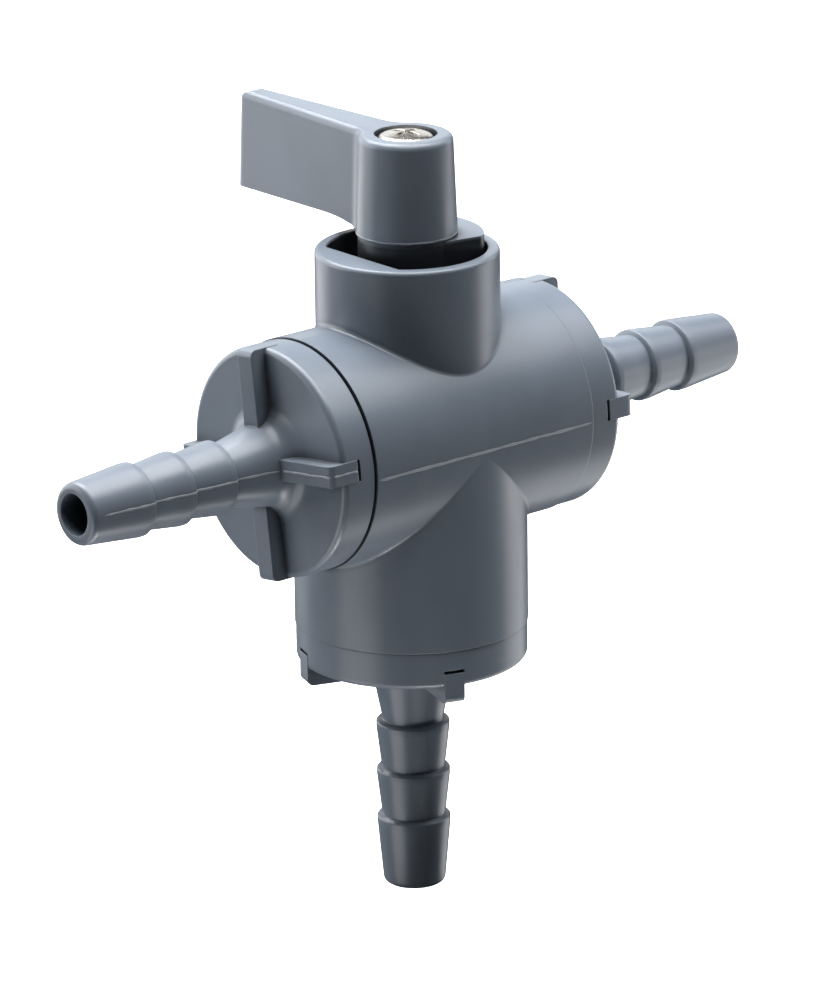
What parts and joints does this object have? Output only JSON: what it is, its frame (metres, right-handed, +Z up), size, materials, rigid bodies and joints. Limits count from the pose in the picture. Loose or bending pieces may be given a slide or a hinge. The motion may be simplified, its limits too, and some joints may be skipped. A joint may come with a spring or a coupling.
{
  "type": "three way valve",
  "caption": "Plastic three-way ball valve: T-shaped body, ribbed end caps with hose barbs on both sides and below, and a lever handle in a collar on top.",
  "frame": {"origin": "centre of the bottom port's mouth, at the tip of the bottom hose barb", "axes": "+Z up along the bottom port and the handle's axis, towards the handle; +X along the right side port; at rest the handle points along +Y, across the side ports (closed)"},
  "size_m": [0.1268, 0.0547, 0.1177],
  "materials": {
    "grey_pvc": "satin moulded PVC",
    "ball_pvc": "polished",
    "ptfe": "waxy white",
    "black_rubber": "matt",
    "stainless_steel": "bright"
  },
  "bodies": {
    "housing": {"valve_body": "grey_pvc", "left_end_cap": "grey_pvc", "right_end_cap": "grey_pvc", "bottom_end_cap": "grey_pvc", "left_seat": "ptfe", "left_seat_o_ring": "black_rubber", "left_cap_o_ring": "black_rubber", "right_seat": "ptfe", "right_seat_o_ring": "black_rubber", "right_cap_o_ring": "black_rubber", "bottom_seat": "ptfe", "bottom_seat_o_ring": "black_rubber", "bottom_cap_o_ring": "black_rubber"},
    "lever": {"handle": "grey_pvc", "handle_screw": "stainless_steel", "stem": "grey_pvc", "stem_thrust_washer": "ptfe", "lower_stem_o_ring": "black_rubber", "upper_stem_o_ring": "black_rubber"},
    "ball": {"ball": "ball_pvc"}
  },
  "joints": [
    {"name": "handle_turn", "type": "hinge", "parent": "housing", "child": "lever", "pos_m": [0, 0, 0.0724], "axis": [0, 0, 1], "range_deg": [-90, 90]},
    {"name": "ball_turn", "type": "hinge", "parent": "housing", "child": "ball", "pos_m": [0, 0, 0.0724], "axis": [0, 0, 1], "range_deg": [-90, 90]}
  ],
  "couplings": [
    {"joint": "ball_turn", "follows": "handle_turn", "ratio": 1}
  ]
}
